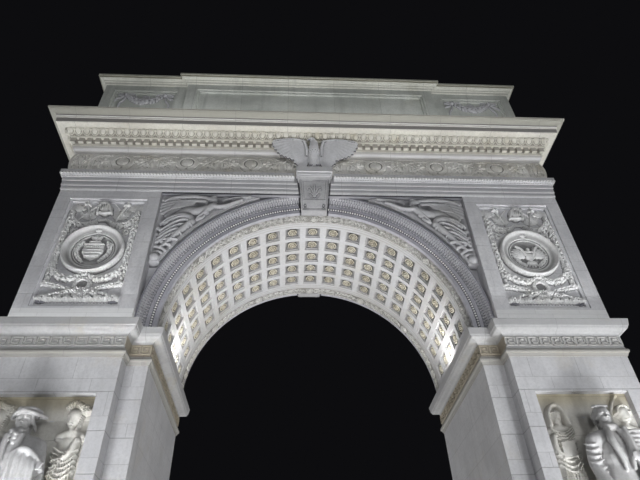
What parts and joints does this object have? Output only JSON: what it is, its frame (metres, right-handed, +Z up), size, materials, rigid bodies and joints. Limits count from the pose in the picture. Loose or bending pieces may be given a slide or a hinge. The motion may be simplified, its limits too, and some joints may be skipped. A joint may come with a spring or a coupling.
{
  "type": "triumphal arch",
  "caption": "Single-bay marble triumphal arch with coffered vault, panelled piers with standing figures, carved spandrels, full entablature and attic.",
  "frame": {"origin": "centre of the arch's plan, on the ground", "axes": "+Z up, +Y from the front through the passage to the back, +X to the right as seen from the front"},
  "size_m": [18.994, 7.876, 21.71],
  "materials": {
    "ashlar": "honed, jointed",
    "moulding": "moulded, slightly stained",
    "carving": "carved in relief",
    "vault_stone": "coffered, warm cream",
    "aged_relief": "weathered, brownish",
    "figure_stone": "fine carved",
    "roof_stone": "weathered slabs"
  },
  "bodies": {
    "root": {"left_pier_plinth": "ashlar", "right_pier_plinth": "ashlar", "left_statue_pedestal": "ashlar", "right_statue_pedestal": "ashlar", "left_pier_shaft": "ashlar", "right_pier_shaft": "ashlar", "left_relief_panel": "aged_relief", "right_relief_panel": "aged_relief", "left_statue": "figure_stone", "right_statue": "figure_stone", "left_impost": "moulding", "right_impost": "moulding", "left_upper_pier": "ashlar", "right_upper_pier": "ashlar", "front_left_medallion": "carving", "front_right_medallion": "carving", "back_left_medallion": "carving", "back_right_medallion": "carving", "left_spandrel_wall": "ashlar", "right_spandrel_wall": "ashlar", "front_left_victory": "carving", "front_right_victory": "carving", "back_left_victory": "carving", "back_right_victory": "carving", "vault_left_foot": "vault_stone", "vault_left_haunch": "vault_stone", "vault_crown": "vault_stone", "vault_right_haunch": "vault_stone", "vault_right_foot": "vault_stone", "front_archivolt": "moulding", "back_archivolt": "moulding", "front_keystone": "carving", "back_keystone": "carving", "front_eagle": "figure_stone", "back_eagle": "figure_stone", "architrave": "moulding", "frieze": "carving", "dentil_course": "moulding", "egg_course": "moulding", "cornice": "moulding", "attic": "ashlar", "front_garlands": "carving", "back_garlands": "carving", "attic_cornice": "moulding", "roof": "roof_stone"}
  },
  "joints": []
}
